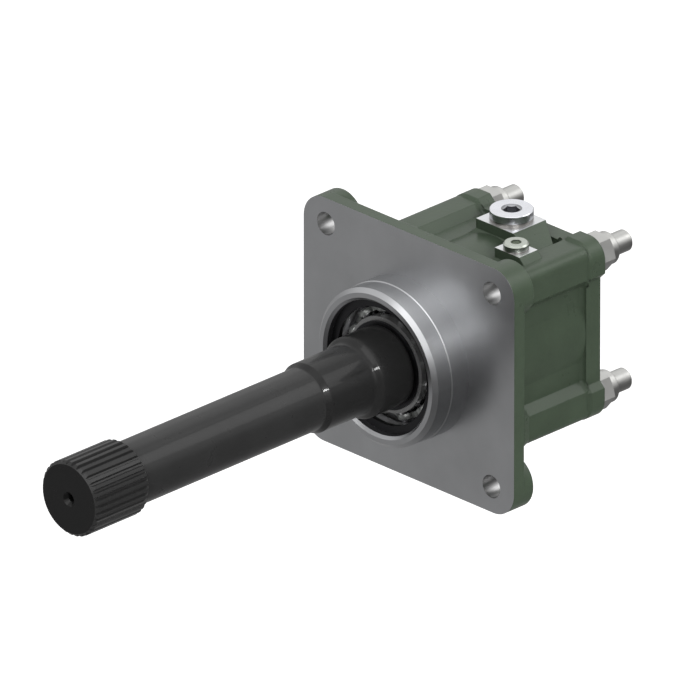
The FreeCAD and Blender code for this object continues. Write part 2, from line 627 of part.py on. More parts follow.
def input_shaft():
    """Long shaft driven by the gearbox: front spline, bearing seat, clutch teeth and pilot."""
    spline_end = SHAFT_TIP_Y + SHAFT_SPLINE_LENGTH
    collar_full = SHAFT_COLLAR_START_Y + SHAFT_COLLAR_CONE
    seat_full = SHAFT_SEAT_START_Y + SHAFT_SEAT_CONE
    clip_rear = FRONT_BEARING_FACE_Y
    clip_front = clip_rear - FRONT_SHAFT_CLIP_THICKNESS
    clip_r = FRONT_BEARING_BORE_R - FRONT_SHAFT_CLIP_DEPTH
    shoulder_end = FRONT_BEARING_REAR_Y + SHAFT_SHOULDER_WIDTH
    pilot_end = OUTPUT_FRONT_Y + BUSH_LENGTH
    centre_taper = SHAFT_CENTRE_R - SHAFT_CENTRE_DRILL_R
    core = turned([
        (SHAFT_TIP_Y + SHAFT_CENTRE_DEPTH, 0),
        (SHAFT_TIP_Y + SHAFT_CENTRE_DEPTH, SHAFT_CENTRE_DRILL_R),
        (SHAFT_TIP_Y + centre_taper, SHAFT_CENTRE_DRILL_R),
        (SHAFT_TIP_Y, SHAFT_CENTRE_R),
        (SHAFT_TIP_Y, SHAFT_TUBE_R),
        (spline_end + SHAFT_SPLINE_RUNOUT, SHAFT_TUBE_R),
        (SHAFT_COLLAR_START_Y, SHAFT_TUBE_R, SHAFT_FILLET),
        (collar_full, SHAFT_COLLAR_R),
        (SHAFT_SEAT_START_Y, SHAFT_COLLAR_R, SHAFT_FILLET),
        (seat_full, FRONT_BEARING_BORE_R),
        (clip_front, FRONT_BEARING_BORE_R),
        (clip_front, clip_r),
        (clip_rear, clip_r),
        (clip_rear, FRONT_BEARING_BORE_R),
        (FRONT_BEARING_REAR_Y, FRONT_BEARING_BORE_R),
        (FRONT_BEARING_REAR_Y, SHAFT_SHOULDER_R),
        (shoulder_end, SHAFT_SHOULDER_R),
        (shoulder_end, SHAFT_NECK_R, SHAFT_FILLET),
        (INPUT_TEETH_END_Y, SHAFT_NECK_R),
        (INPUT_TEETH_END_Y, PILOT_R),
        (pilot_end - PILOT_CHAMFER, PILOT_R),
        (pilot_end, PILOT_R - PILOT_CHAMFER),
        (pilot_end, 0),
    ])
    spline = toothed_bar(SHAFT_SPLINE_TEETH, SHAFT_SPLINE_ROOT_R, SHAFT_SPLINE_TIP_R,
                         SHAFT_SPLINE_ROOT_WIDTH, SHAFT_SPLINE_TIP_WIDTH, SHAFT_TIP_Y, spline_end)
    spline = spline.common(turned([
        (SHAFT_TIP_Y, SHAFT_CENTRE_R + centre_taper),
        (SHAFT_TIP_Y, SHAFT_SPLINE_TIP_R - SHAFT_SPLINE_CHAMFER),
        (SHAFT_TIP_Y + SHAFT_SPLINE_CHAMFER, SHAFT_SPLINE_TIP_R),
        (spline_end - SHAFT_SPLINE_RUNOUT, SHAFT_SPLINE_TIP_R),
        (spline_end, SHAFT_SPLINE_ROOT_R),
        (spline_end, SHAFT_CENTRE_R + centre_taper),
    ]))
    clutch = clutch_teeth(INPUT_TEETH_START_Y, INPUT_TEETH_END_Y)
    return core.fuse([spline, clutch]).removeSplitter()


def clutch_bar(y_front, y_rear, growth):
    """Bar with the clutch's teeth; growth makes it the cutter for the sleeve's own teeth."""
    return toothed_bar(CLUTCH_TEETH, CLUTCH_ROOT_R + growth, CLUTCH_TIP_R + growth,
                       CLUTCH_ROOT_WIDTH + 2.0 * growth, CLUTCH_TIP_WIDTH + 2.0 * growth, y_front, y_rear)


def clutch_teeth(y_front, y_rear):
    """Ring of clutch teeth on a shaft, with a lead-in at both ends."""
    inner_r = SOCKET_MAJOR_R
    envelope = turned([
        (y_front, inner_r),
        (y_front, CLUTCH_TIP_R - CLUTCH_CHAMFER),
        (y_front + CLUTCH_CHAMFER, CLUTCH_TIP_R),
        (y_rear - CLUTCH_CHAMFER, CLUTCH_TIP_R),
        (y_rear, CLUTCH_TIP_R - CLUTCH_CHAMFER),
        (y_rear, inner_r),
    ])
    return clutch_bar(y_front, y_rear, 0.0).common(envelope)


def output_shaft():
    """Hollow shaft: clutch teeth outside, and the pump's eight-key socket inside."""
    clip_rear = REAR_BEARING_REAR_Y + REAR_SHAFT_CLIP_THICKNESS
    clip_r = REAR_BEARING_BORE_R - REAR_SHAFT_CLIP_DEPTH
    core = turned([
        (OUTPUT_FRONT_Y, SOCKET_MINOR_R),
        (OUTPUT_FRONT_Y, SHAFT_NECK_R),
        (REAR_BEARING_FACE_Y - OUTPUT_COLLAR_WIDTH, SHAFT_NECK_R),
        (REAR_BEARING_FACE_Y - OUTPUT_COLLAR_WIDTH, OUTPUT_COLLAR_R),
        (REAR_BEARING_FACE_Y, OUTPUT_COLLAR_R),
        (REAR_BEARING_FACE_Y, REAR_BEARING_BORE_R),
        (REAR_BEARING_REAR_Y, REAR_BEARING_BORE_R),
        (REAR_BEARING_REAR_Y, clip_r),
        (clip_rear, clip_r),
        (clip_rear, REAR_BEARING_BORE_R),
        (OUTPUT_END_Y - OUTPUT_CHAMFER, REAR_BEARING_BORE_R),
        (OUTPUT_END_Y, REAR_BEARING_BORE_R - OUTPUT_CHAMFER),
        (OUTPUT_END_Y, SOCKET_MINOR_R),
    ])
    shaft = core.fuse(clutch_teeth(OUTPUT_FRONT_Y, GUIDE_SEAT_Y))
    return shaft.cut(pump_socket()).removeSplitter()


def pump_socket():
    """Cutter for the eight slots and the chamfered mouth that take the pump's shaft."""
    start = OUTPUT_END_Y - SOCKET_LENGTH
    slots = []
    for index in range(SOCKET_KEYS):
        slot = block(0, SOCKET_MAJOR_R * 2.0, start, OUTPUT_END_Y,
                     -SOCKET_KEY_WIDTH / 2.0, SOCKET_KEY_WIDTH / 2.0)
        slots.append(turned_about_axis(slot, 360.0 * index / SOCKET_KEYS))
    slots = slots[0].fuse(slots[1:]).common(bar(SOCKET_MAJOR_R, start, OUTPUT_END_Y))
    mouth_foot = Vector(0, OUTPUT_END_Y - SOCKET_CHAMFER, 0)
    mouth = Part.makeCone(SOCKET_MAJOR_R, SOCKET_MAJOR_R + SOCKET_CHAMFER, SOCKET_CHAMFER, mouth_foot, AXIS)
    return slots.fuse(mouth)


def pilot_bush():
    return ring(OUTPUT_FRONT_Y, OUTPUT_FRONT_Y + BUSH_LENGTH, PILOT_R + RUNNING_CLEARANCE, SOCKET_MINOR_R)


def clutch_sleeve():
    """Sliding sleeve that couples the two shafts, with a groove for the shift ring."""
    end = SLEEVE_FRONT_Y + SLEEVE_LENGTH
    inner_r = CLUTCH_ROOT_R - SLEEVE_CHAMFER
    body = turned([
        (SLEEVE_FRONT_Y, inner_r),
        (SLEEVE_FRONT_Y, SLEEVE_R - SLEEVE_CHAMFER),
        (SLEEVE_FRONT_Y + SLEEVE_CHAMFER, SLEEVE_R),
        (SLEEVE_GROOVE_Y, SLEEVE_R),
        (SLEEVE_GROOVE_Y, SLEEVE_GROOVE_R),
        (SLEEVE_GROOVE_END_Y, SLEEVE_GROOVE_R),
        (SLEEVE_GROOVE_END_Y, SLEEVE_R),
        (end - SLEEVE_CHAMFER, SLEEVE_R),
        (end, SLEEVE_R - SLEEVE_CHAMFER),
        (end, inner_r),
    ])
    return body.cut(clutch_bar(SLEEVE_FRONT_Y, end, SPLINE_CLEARANCE))


def shift_ring_halves():
    """Bronze ring in two halves that rides in the sleeve's groove."""
    front = SLEEVE_GROOVE_Y + SIDE_CLEARANCE
    rear = SLEEVE_GROOVE_END_Y - SIDE_CLEARANCE
    whole = ring(front, rear, SLEEVE_GROOVE_R + SIDE_CLEARANCE, SHIFT_RING_R - SEAT_CLEARANCE)
    half = whole.common(block(SHIFT_RING_SPLIT / 2.0, SHIFT_RING_R, front, rear, -SHIFT_RING_R, SHIFT_RING_R))
    return Part.makeCompound([half, turned_about_axis(half, 180.0)])


def shift_piston():
    """Ring-shaped air piston whose skirt carries the shift ring."""
    clip_front = SLEEVE_GROOVE_Y - SHIFT_CLIP_THICKNESS
    skirt_front = clip_front - PISTON_SKIRT_LIP
    clip_r = SHIFT_RING_R + SHIFT_CLIP_DEPTH
    bore_r = GUIDE_NECK_R + RUNNING_CLEARANCE
    seal_rear = PISTON_REAR_Y - PISTON_SEAL_INSET
    seal_front = seal_rear - 2.0 * PISTON_SEAL_SECTION_R
    seal_r = PISTON_R - 2.0 * PISTON_SEAL_SECTION_R
    return turned([
        (skirt_front, SHIFT_RING_R),
        (skirt_front, PISTON_SKIRT_R),
        (PISTON_STEP_Y, PISTON_SKIRT_R),
        (PISTON_STEP_Y, PISTON_R),
        (seal_front, PISTON_R),
        (seal_front, seal_r),
        (seal_rear, seal_r),
        (seal_rear, PISTON_R),
        (PISTON_REAR_Y, PISTON_R),
        (PISTON_REAR_Y, bore_r),
        (SLEEVE_GROOVE_END_Y, bore_r),
        (SLEEVE_GROOVE_END_Y, SHIFT_RING_R),
        (SLEEVE_GROOVE_Y, SHIFT_RING_R),
        (SLEEVE_GROOVE_Y, clip_r),
        (clip_front, clip_r),
        (clip_front, SHIFT_RING_R),
    ])


def seal_ring(y_front, outer_r, section_r):
    """Rubber ring of round section that fills a groove from y_front on."""
    centre = Vector(outer_r - section_r, y_front + section_r, 0)
    circle = Part.Wire(Part.Circle(centre, Vector(0, 0, 1), section_r).toShape())
    return Part.Face(circle).revolve(ORIGIN, AXIS, 360)


def return_spring():
    """Coil spring between the front web and the piston's step."""
    start = FRONT_WEB_REAR_Y + SPRING_WIRE_R + SIDE_CLEARANCE
    length = PISTON_STEP_Y - SPRING_WIRE_R - SIDE_CLEARANCE - start
    helix = Part.makeHelix(length / SPRING_TURNS, length, SPRING_MEAN_R)
    corners = []
    for index in range(SPRING_WIRE_SIDES):
        angle = 2.0 * math.pi * (index + 0.5) / SPRING_WIRE_SIDES
        corners.append(Vector(SPRING_MEAN_R + SPRING_WIRE_R * math.cos(angle), 0,
                              SPRING_WIRE_R * math.sin(angle)))
    section = Part.makePolygon(corners + corners[:1])
    spring = Part.Wire(helix).makePipeShell([section], True, True)
    spring.rotate(ORIGIN, Vector(1, 0, 0), -90)
    spring.translate(Vector(0, start, 0))
    return spring


def piston_guide():
    """Insert that closes the cylinder, guides the piston and holds the rear bearing."""
    neck_front = GUIDE_SEAT_Y - GUIDE_NECK_LENGTH
    neck_bore_r = SLEEVE_R + GUIDE_NECK_ROOM
    web_rear = GUIDE_SEAT_Y + GUIDE_WEB
    clip_rear = REAR_BEARING_REAR_Y + REAR_BORE_CLIP_THICKNESS
    clip_r = REAR_BEARING_OUTER_R + REAR_BORE_CLIP_DEPTH
    seal_width = 2.0 * GUIDE_SEAL_SECTION_R
    neck_seal_rear = neck_front + GUIDE_NECK_SEAL_INSET
    neck_seal_front = neck_seal_rear - seal_width
    neck_seal_r = GUIDE_NECK_R - seal_width
    seal_rear = GUIDE_END_Y - GUIDE_SEAL_INSET
    seal_r = GUIDE_R - seal_width
    air_front = AIR_PORT_Y - AIR_GROOVE_WIDTH / 2.0
    air_rear = AIR_PORT_Y + AIR_GROOVE_WIDTH / 2.0
    air_r = GUIDE_R - AIR_GROOVE_DEPTH
    body = turned([
        (neck_front, neck_bore_r),
        (neck_front, GUIDE_NECK_R),
        (neck_seal_front, GUIDE_NECK_R),
        (neck_seal_front, neck_seal_r),
        (neck_seal_rear, neck_seal_r),
        (neck_seal_rear, GUIDE_NECK_R),
        (GUIDE_SEAT_Y, GUIDE_NECK_R),
        (GUIDE_SEAT_Y, GUIDE_R),
        (air_front, GUIDE_R),
        (air_front, air_r),
        (air_rear, air_r),
        (air_rear, GUIDE_R),
        (seal_rear - seal_width, GUIDE_R),
        (seal_rear - seal_width, seal_r),
        (seal_rear, seal_r),
        (seal_rear, GUIDE_R),
        (GUIDE_END_Y, GUIDE_R),
        (GUIDE_END_Y, REAR_BEARING_OUTER_R),
        (clip_rear, REAR_BEARING_OUTER_R),
        (clip_rear, clip_r),
        (REAR_BEARING_REAR_Y, clip_r),
        (REAR_BEARING_REAR_Y, REAR_BEARING_OUTER_R),
        (REAR_BEARING_FACE_Y, REAR_BEARING_OUTER_R),
        (REAR_BEARING_FACE_Y, GUIDE_SHOULDER_R),
        (web_rear, GUIDE_SHOULDER_R),
        (web_rear, neck_bore_r),
    ])
    half = AIR_CHANNEL_WIDTH / 2.0
    channel = block(-half, half, GUIDE_SEAT_Y, air_front, air_r, GUIDE_BORE_R)
    turn = 360.0 / AIR_CHANNELS
    return body.cut([turned_about_axis(channel, turn * index) for index in range(AIR_CHANNELS)])


def bore_circlip(y_front, thickness, bore_r, depth, width):
    """Retaining ring in a bore: open between two ears that point inwards."""
    outer_r = bore_r + depth - CLIP_END_GAP
    inner_r = bore_r - width
    return circlip(y_front, thickness, inner_r, outer_r, inner_r)


def shaft_circlip(y_front, thickness, shaft_r, depth, width):
    """Retaining ring on a shaft: open between two ears that point outwards."""
    inner_r = shaft_r - depth + CLIP_END_GAP
    outer_r = inner_r + width
    return circlip(y_front, thickness, inner_r, outer_r, outer_r)


def open_hoop(y_front, y_rear, inner_r, outer_r, gap_angle):
    """Flat ring with a gap of that angle, centred on X."""
    half_gap = math.radians(gap_angle / 2.0)
    far_x = 2.0 * outer_r
    far_z = far_x * math.tan(half_gap)
    gap = prism([(0, 0), (far_x, far_z), (far_x, -far_z)], y_front, y_rear)
    return ring(y_front, y_rear, inner_r, outer_r).cut(gap)


def circlip(y_front, thickness, inner_r, outer_r, ear_centre_r):
    """Open ring with two drilled ears at its ends."""
    y_rear = y_front + thickness
    ear_angle = math.radians(CLIP_GAP_ANGLE / 2.0) + CLIP_EAR_INSET / ear_centre_r
    ears = []
    holes = []
    for side in (-1, 1):
        x = ear_centre_r * math.cos(ear_angle)
        z = side * ear_centre_r * math.sin(ear_angle)
        ears.append(bar(CLIP_EAR_R, y_front, y_rear, x, z))
        holes.append(bar(CLIP_EAR_HOLE_R, y_front, y_rear, x, z))
    hoop = open_hoop(y_front, y_rear, inner_r, outer_r, CLIP_GAP_ANGLE)
    return turned_about_axis(hoop.fuse(ears).cut(holes).removeSplitter(), -CLIP_EAR_ANGLE)


def shift_ring_snap_ring():
    """Plain open ring, with no ears, that keeps the shift ring in the piston."""
    outer_r = SHIFT_RING_R + SHIFT_CLIP_DEPTH - CLIP_END_GAP
    return open_hoop(SLEEVE_GROOVE_Y - SHIFT_CLIP_THICKNESS, SLEEVE_GROOVE_Y,
                     outer_r - SHIFT_CLIP_WIDTH, outer_r, SNAP_RING_GAP_ANGLE)


def bearing_outer_ring(bearing):
    rear_y = bearing.face_y + bearing.width
    outer_r = bearing.outer_r - SEAT_CLEARANCE
    hoop = turned([
        (bearing.face_y, bearing.outer_land_r),
        (bearing.face_y, outer_r, BEARING_EDGE_R),
        (rear_y, outer_r, BEARING_EDGE_R),
        (rear_y, bearing.outer_land_r),
    ])
    return hoop.cut(ball_track(bearing))


def bearing_inner_ring(bearing):
    rear_y = bearing.face_y + bearing.width
    bore_r = bearing.bore_r + SEAT_CLEARANCE
    hoop = turned([
        (bearing.face_y, bore_r, BEARING_EDGE_R),
        (bearing.face_y, bearing.inner_land_r),
        (rear_y, bearing.inner_land_r),
        (rear_y, bore_r, BEARING_EDGE_R),
    ])
    return hoop.cut(ball_track(bearing))


def ball_track(bearing):
    """Round groove that both rings of a bearing share, as a cutter."""
    middle_y = bearing.face_y + bearing.width / 2.0
    track_r = bearing.ball_r + BALL_CLEARANCE
    return hoop_of_round_section(middle_y, bearing.pitch_r, track_r)


def hoop_of_round_section(y, middle_r, section_r):
    circle = Part.Circle(Vector(middle_r, y, 0), Vector(0, 0, 1), section_r)
    return Part.Face(Part.Wire(circle.toShape())).revolve(ORIGIN, AXIS, 360)


def ball(bearing, radius):
    """Ball of that radius at the place of the bearing's first ball."""
    centre = Vector(bearing.pitch_r, bearing.face_y + bearing.width / 2.0, 0)
    return Part.makeSphere(radius, centre, Vector(1, 0, 0))


def at_each_ball(bearing, shape):
    step = 360.0 / bearing.balls
    return [turned_about_axis(shape, step * (index + 0.5)) for index in range(bearing.balls)]


def bearing_balls(bearing):
    return Part.makeCompound(at_each_ball(bearing, ball(bearing, bearing.ball_r)))


def bearing_cage(bearing):
    """Pressed ribbon cage: a flat band that bulges round each ball."""
    middle_y = bearing.face_y + bearing.width / 2.0
    inner_r = bearing.pitch_r - bearing.cage_depth / 2.0
    outer_r = bearing.pitch_r + bearing.cage_depth / 2.0
    pocket_r = bearing.ball_r + BALL_CLEARANCE
    band = ring(middle_y - CAGE_WALL, middle_y + CAGE_WALL, inner_r, outer_r)
    limit = ring(bearing.face_y, bearing.face_y + bearing.width, inner_r, outer_r)
    bulge = ball(bearing, pocket_r + CAGE_WALL).common(turned_about_axis(limit, 180.0))
    cage = band.fuse(at_each_ball(bearing, bulge))
    return cage.cut(at_each_ball(bearing, ball(bearing, pocket_r)))


def rear_bearing_seal():
    """Rubber seal on the pump side of the rear bearing, held in a groove of its outer ring."""
    rear = REAR_BEARING_REAR_Y - REAR_SEAL_INSET
    return ring(rear - REAR_SEAL_THICKNESS, rear,
                REAR_BEARING.inner_land_r + RUNNING_CLEARANCE, REAR_BEARING.outer_land_r + REAR_SEAL_BITE)


def seal_ring(y_rear, outer_r, section_r):
    """Rubber ring of round section whose rear side lies at y_rear."""
    return hoop_of_round_section(y_rear - section_r, outer_r - section_r, section_r)


def at_each_stud(shape):
    """Four copies of a shape that was made on the shaft axis, one at each stud."""
    copies = []
    for x, z in four_corners(STUD_SPACING / 2.0, STUD_SPACING / 2.0):
        copy = shape.copy()
        copy.translate(Vector(x, 0, z))
        copies.append(copy)
    return Part.makeCompound(copies)


def mounting_studs():
    """Four studs for the pump, thin as their threads' pitch where a thread holds them."""
    neck_start = PUMP_FACE_Y + NUT_HEIGHT
    neck_end = neck_start + STUD_NECK_LENGTH
    end = PUMP_FACE_Y + STUD_REACH
    engaged_r = STUD_PITCH_R - SEAT_CLEARANCE
    stud = turned([
        (PUMP_FACE_Y - STUD_DEPTH, 0),
        (PUMP_FACE_Y - STUD_DEPTH, engaged_r),
        (neck_start, engaged_r),
        (neck_start, STUD_NECK_R),
        (neck_end, STUD_NECK_R),
        (neck_end, STUD_R),
        (end - STUD_CHAMFER, STUD_R),
        (end, STUD_R - STUD_CHAMFER),
        (end, 0),
    ])
    return at_each_stud(stud)


def mounting_nuts():
    """Four lock nuts on the pump face: a hexagon with chamfered corners and a round crown behind it."""
    rear = PUMP_FACE_Y + NUT_HEIGHT
    hexagon_end = PUMP_FACE_Y + NUT_HEXAGON_LENGTH
    corner_r = NUT_WIDTH / math.sqrt(3.0)
    face_r = NUT_WIDTH / 2.0
    envelope = turned([
        (PUMP_FACE_Y, 0),
        (PUMP_FACE_Y, face_r),
        (PUMP_FACE_Y + NUT_CHAMFER, corner_r),
        (hexagon_end - NUT_CHAMFER, corner_r),
        (hexagon_end, face_r),
        (hexagon_end, 0),
    ])
    blank = prism(hexagon(NUT_WIDTH, NUT_CORNER_ANGLE), PUMP_FACE_Y, hexagon_end)
    crown = bar(NUT_CROWN_R, hexagon_end, rear)
    rim = [edge for edge in crown.Edges if edge.BoundBox.YMin > rear - 0.001]
    nut = blank.common(envelope).fuse(crown.makeFillet(NUT_CROWN_EDGE_R, rim))
    return at_each_stud(nut.cut(bar(STUD_PITCH_R, PUMP_FACE_Y, rear)))


def air_port_plug():
    return port_plug(0, AIR_PORT_Y, AIR_WASHER_THICKNESS, AIR_PLUG_R, AIR_PLUG_HEIGHT, AIR_PLUG_EDGE,
                     AIR_PLUG_SOCKET, AIR_PLUG_DISH_R, AIR_PORT_R, AIR_PORT_DEPTH)


def switch_port_plug():
    return port_plug(SWITCH_PORT_X, SWITCH_PORT_Y, SWITCH_WASHER_THICKNESS, SWITCH_PLUG_R,
                     SWITCH_PLUG_HEIGHT, SWITCH_PLUG_EDGE, SWITCH_PLUG_SOCKET, SWITCH_PLUG_DISH_R,
                     SWITCH_PORT_R, SWITCH_PORT_DEPTH)


parts = {
    "housing": housing(),
    "air_port_plug": air_port_plug(),
    "air_port_washer": port_washer(0, AIR_PORT_Y, AIR_PLUG_R, AIR_PORT_R, AIR_WASHER_THICKNESS),
    "switch_port_plug": switch_port_plug(),
    "switch_port_washer": port_washer(SWITCH_PORT_X, SWITCH_PORT_Y, SWITCH_PLUG_R, SWITCH_PORT_R,
                                      SWITCH_WASHER_THICKNESS),
    "mounting_studs": mounting_studs(),
    "mounting_nuts": mounting_nuts(),

    "input_shaft": input_shaft(),
    "front_bearing_outer_ring": bearing_outer_ring(FRONT_BEARING),
    "front_bearing_inner_ring": bearing_inner_ring(FRONT_BEARING),
    "front_bearing_cage": bearing_cage(FRONT_BEARING),
    "front_bearing_balls": bearing_balls(FRONT_BEARING),
    "front_bore_circlip": bore_circlip(FRONT_BEARING_FACE_Y - FRONT_BORE_CLIP_THICKNESS,
                                       FRONT_BORE_CLIP_THICKNESS, FRONT_BEARING_OUTER_R,
                                       FRONT_BORE_CLIP_DEPTH, BORE_CLIP_SHARE * FRONT_BEARING.height),
    "front_shaft_circlip": shaft_circlip(FRONT_BEARING_FACE_Y - FRONT_SHAFT_CLIP_THICKNESS,
                                         FRONT_SHAFT_CLIP_THICKNESS, FRONT_BEARING_BORE_R,
                                         FRONT_SHAFT_CLIP_DEPTH,
                                         SHAFT_CLIP_SHARE * FRONT_BEARING.height),

    "output_shaft": output_shaft(),
    "pilot_bush": pilot_bush(),
    "clutch_sleeve": clutch_sleeve(),
    "shift_ring_halves": shift_ring_halves(),
    "shift_ring_snap_ring": shift_ring_snap_ring(),
    "shift_piston": shift_piston(),
    "piston_seal": seal_ring(PISTON_REAR_Y - PISTON_SEAL_INSET, PISTON_R, PISTON_SEAL_SECTION_R),
    "return_spring": return_spring(),

    "piston_guide": piston_guide(),
    "guide_neck_seal": seal_ring(GUIDE_SEAT_Y - GUIDE_NECK_LENGTH + GUIDE_NECK_SEAL_INSET,
                                 GUIDE_NECK_R, GUIDE_SEAL_SECTION_R),
    "guide_seal": seal_ring(GUIDE_END_Y - GUIDE_SEAL_INSET, GUIDE_R, GUIDE_SEAL_SECTION_R),
    "guide_circlip": bore_circlip(GUIDE_END_Y, GUIDE_CLIP_THICKNESS, GUIDE_BORE_R,
                                  GUIDE_CLIP_DEPTH, GUIDE_CLIP_WIDTH),

    "rear_bearing_outer_ring": bearing_outer_ring(REAR_BEARING).cut(rear_bearing_seal()),
    "rear_bearing_inner_ring": bearing_inner_ring(REAR_BEARING),
    "rear_bearing_cage": bearing_cage(REAR_BEARING),
    "rear_bearing_balls": bearing_balls(REAR_BEARING),
    "rear_bearing_seal": rear_bearing_seal(),
    "rear_bore_circlip": bore_circlip(REAR_BEARING_REAR_Y, REAR_BORE_CLIP_THICKNESS,
                                      REAR_BEARING_OUTER_R, REAR_BORE_CLIP_DEPTH,
                                      BORE_CLIP_SHARE * REAR_BEARING.height),
    "rear_shaft_circlip": shaft_circlip(REAR_BEARING_REAR_Y, REAR_SHAFT_CLIP_THICKNESS,
                                        REAR_BEARING_BORE_R, REAR_SHAFT_CLIP_DEPTH,
                                        SHAFT_CLIP_SHARE * REAR_BEARING.height),
}

for name, shape in parts.items():
    shape.exportStep(os.path.join("parts", name + ".step"))
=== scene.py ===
import math

import bmesh
import bpy
from bpy.props import FloatProperty, FloatVectorProperty, IntProperty, PointerProperty
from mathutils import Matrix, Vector


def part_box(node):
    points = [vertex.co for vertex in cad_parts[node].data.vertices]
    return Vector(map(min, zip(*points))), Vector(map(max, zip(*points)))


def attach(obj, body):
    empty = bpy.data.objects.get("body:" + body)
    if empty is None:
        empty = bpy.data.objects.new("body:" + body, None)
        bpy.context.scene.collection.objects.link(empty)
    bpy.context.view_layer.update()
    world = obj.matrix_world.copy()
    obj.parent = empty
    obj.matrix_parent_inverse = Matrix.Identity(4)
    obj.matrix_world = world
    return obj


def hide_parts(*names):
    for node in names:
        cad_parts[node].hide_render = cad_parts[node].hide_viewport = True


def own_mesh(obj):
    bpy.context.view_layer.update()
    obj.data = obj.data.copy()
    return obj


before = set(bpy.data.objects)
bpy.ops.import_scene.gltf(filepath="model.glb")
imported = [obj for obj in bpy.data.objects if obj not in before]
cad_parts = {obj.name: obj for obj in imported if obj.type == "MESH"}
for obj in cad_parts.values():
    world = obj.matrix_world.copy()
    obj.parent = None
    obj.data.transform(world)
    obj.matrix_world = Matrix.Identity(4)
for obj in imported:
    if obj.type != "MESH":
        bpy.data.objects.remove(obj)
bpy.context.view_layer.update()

bl_info = {
    "name": "Power Take Off Unit",
    "version": (1, 0, 0),
    "blender": (4, 5, 0),
    "location": "3D View > Sidebar > Power Take Off",
    "description": "Dresses the power take off unit in its paint and metals and winds its return spring",
    "category": "Object",
}

WHOLE_TURN = 2.0 * math.pi
SMOOTH_ANGLE = math.radians(28.0)

# How far a mask reaches past the face that it marks
SKIN = 0.00005

# Casting
METAL_ROUGHNESS = 0.35
PUMP_FACE_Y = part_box("housing")[1][1]
INSIDE_START_Y = 0.03
INSIDE_R = 0.0405
PAD_TOP_Z = 0.0537
BOLT_HOLE_X = 0.0612
BOLT_HOLE_Z = 0.0557
BOLT_HOLE_ZONE = 0.0072
PAINT_EDGE_R = 0.0008
PAINT_GRAIN_DEPTH = 0.00004
# Painted shade: the paint is darkened in the corners of the casting, within this reach
CORNER_REACH = 0.03
PAINTED_CORNER_SHADE = 0.5

# Input shaft
SHAFT_END_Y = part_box("input_shaft")[0][1]
SPLINE_END_Y = -0.2
COLLAR_START_Y = -0.0784
SEAT_START_Y = -0.06
CENTRE_HOLE_ZONE = 0.005
COLLAR_EDGE_R = 0.0012
SEAT_EDGE_GROWTH = 0.0020
# Painted shade on the shaft's end face and centre hole, and on its collar and bearing seat
PAINTED_END_SHADE = 0.2
PAINTED_COLLAR_SHADE = 0.65

# Return spring
CLOSED_TURN = 0.75
STEPS_A_TURN = 36
WIRE_SIDES = 12

# Plugs, with each depth measured down from the plug's top
AIR_DISH_R = 0.0057
AIR_SOCKET_R = 0.0047
# Painted tones in the sockets: painted shade in the air plug's socket, painted light in the switch plug's
# socket
AIR_SOCKET_PAINTED_SHADE = 0.52
SWITCH_SOCKET_R = 0.003
SWITCH_SOCKET_PAINTED_LIGHT = 1.25
PLUG_RIM_DEPTH = 0.0009
DISH_DEPTH = 0.00003
SOCKET_DEPTH = 0.0006
# Painted shade in the countersink and on the plug's side
PAINTED_DISH_SHADE = 0.36
PAINTED_PLUG_SIDE_SHADE = 0.62
PLUG_SIDE_DULLNESS = 0.16

# Studio
GROUND_LEFT = 0.44
GROUND_RIGHT = 0.14
GROUND_FADE = (-0.7, 0.6)
SKY_RISE = 0.4
SOFT_LIGHT = 0.24
WHITE = (1.0, 1.0, 1.0, 1.0)
FLOOR_COLOUR = (0.9, 0.9, 0.9)
FLOOR_GLOW = 0.84
FLOOR_HALF = 3.0
FLOOR_Z = -0.42
LAMPS = (
    ("key", (0.05, -1.5, 1.2), 1.2),
    ("fill", (1.5, -0.4, 0.5), 1.2),
    ("top", (0.1, 0.1, 1.6), 1.6),
    ("rim", (0.85, 1.30, 1.30), 0.9),
    ("back", (-0.75, 1.30, 1.35), 0.7),
    ("spark", (1.90, -0.75, 1.26), 0.22),
    ("glint", (1.00, -2.08, 0.66), 0.13),
)
VIEW_AZIMUTH = math.radians(45.0)
VIEW_ELEVATION = math.radians(25.07)
VIEW_DISTANCE = 16.5
VIEW_WIDTH = 0.3664
VIEW_MIDDLE = Vector((-0.02603, -0.01732, 0.0))


def colour(name, default, description):
    return FloatVectorProperty(name=name, description=description, default=default, size=3,
                               min=0.0, max=1.0, subtype="COLOR")


def length(name, default, description):
    return FloatProperty(name=name, description=description, default=default, min=0.0,
                         unit="LENGTH", subtype="DISTANCE")


def power(name, default, description):
    return FloatProperty(name=name, description=description, default=default, min=0.0, unit="POWER")


class CastingFinish(bpy.types.PropertyGroup):
    paint: colour("Paint", (0.087, 0.121, 0.080), "Grey-green paint of the casting")
    paint_roughness: FloatProperty(name="Paint roughness", default=0.30, min=0.0, max=1.0,
                                   description="How dull the paint is", subtype="FACTOR")
    bare: colour("Machined iron", (0.435, 0.44, 0.45), "Turned and milled faces of the casting")
    pad: colour("Milled pad", (0.74, 0.75, 0.76), "Milled tops of the two port bosses")
    bolt_hole: colour("Drilled hole", (0.42, 0.42, 0.42), "Walls of the four bolt holes")


